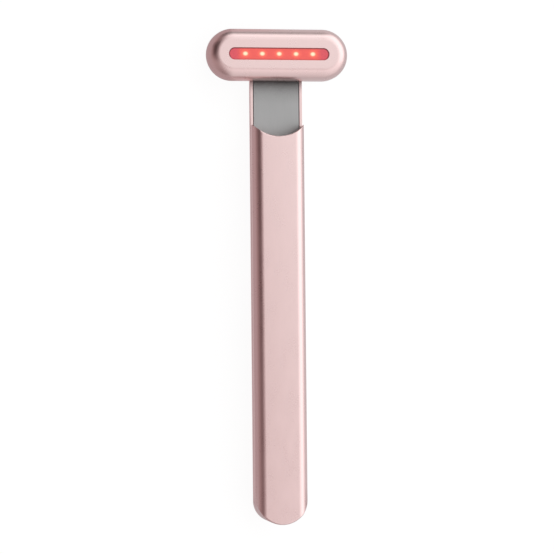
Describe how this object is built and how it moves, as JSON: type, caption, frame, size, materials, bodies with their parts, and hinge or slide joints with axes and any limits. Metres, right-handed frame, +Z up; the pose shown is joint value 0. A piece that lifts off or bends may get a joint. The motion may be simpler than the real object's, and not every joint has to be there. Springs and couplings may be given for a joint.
{
  "type": "skincare wand",
  "caption": "Slim rose metal skincare wand with a crosswise red light head that swivels a quarter turn to lie along its handle.",
  "frame": {"origin": "centre of the box round the part, on the surface that its back lies on, with the head crosswise", "axes": "+X across the handle, +Y along the handle towards the head, +Z up out of the front face"},
  "size_m": [0.0484, 0.168, 0.0137],
  "materials": {
    "rose_metal": "satin",
    "plate_steel": "satin",
    "back_cover_plastic": "matte",
    "window_red": "gloss",
    "dark_plastic": "matte",
    "white_plastic": "satin",
    "steel": "satin",
    "brass": "satin",
    "rubber": "matte",
    "board_green": "satin",
    "copper": "satin",
    "lead_amber": "satin",
    "lead_blue": "satin",
    "lead_red": "satin",
    "film_amber": "gloss",
    "cell_foil": "satin",
    "foam": "matte",
    "lamp": "gloss",
    "chip_black": "satin",
    "ferrite": "matte"
  },
  "bodies": {
    "handle": {"rear_shell": "rose_metal", "front_cover": "rose_metal", "neck_plate": "plate_steel", "neck_frame": "dark_plastic", "plate_screws": "steel", "cover_screws": "steel", "pivot_bush": "brass", "thrust_washer": "steel", "detent_spring": "steel", "position_switch": "chip_black", "switch_board": "board_green", "switch_leads": "lead_blue", "motor_boot": "rubber", "motor_can": "steel", "motor_end_cap": "dark_plastic", "motor_magnet": "ferrite", "motor_leads": "lead_red", "battery_cell": "cell_foil", "protection_board": "board_green", "battery_pads": "foam", "battery_leads": "lead_red", "main_board": "board_green", "board_chips": "chip_black", "board_passives": "copper", "board_connectors": "white_plastic", "board_screws": "steel", "charging_socket": "steel", "socket_tongue": "dark_plastic", "port_bezel": "dark_plastic", "ground_spring": "brass", "neck_leads": "lead_amber"},
    "head": {"head_shell": "rose_metal", "head_back_cover": "back_cover_plastic", "light_window": "window_red", "window_gasket": "rubber", "led_reflector": "white_plastic", "led_board": "white_plastic", "led_packages": "white_plastic", "led_domes": "lamp", "heater_film": "film_amber", "temperature_sensor": "chip_black", "contact_spring": "brass", "head_screws": "steel", "pivot_tube": "steel", "slip_washer": "white_plastic", "switch_cam": "white_plastic", "retaining_ring": "steel", "head_leads": "lead_amber"},
    "switch_plunger": {"switch_plunger": "white_plastic"},
    "motor_rotor": {"motor_shaft": "steel", "coil_cup": "copper", "eccentric_weight": "steel"}
  },
  "joints": [
    {"name": "head_swivel", "type": "hinge", "parent": "handle", "child": "head", "pos_m": [0, 0.07525, 0.005], "axis": [0, 0, 1], "range_deg": [0, 90], "deforming": ["detent_spring"]},
    {"name": "switch_travel", "type": "slide", "parent": "handle", "child": "switch_plunger", "axis": [0, 1, 0], "range_m": [0, 0.0006]},
    {"name": "motor_spin", "type": "hinge", "parent": "handle", "child": "motor_rotor", "pos_m": [0, 0.035, 0.00715], "axis": [0, 1, 0], "continuous": true}
  ],
  "couplings": [
    {"joint": "switch_travel", "follows": "head_swivel", "m_per_rad": 0.00038197}
  ]
}
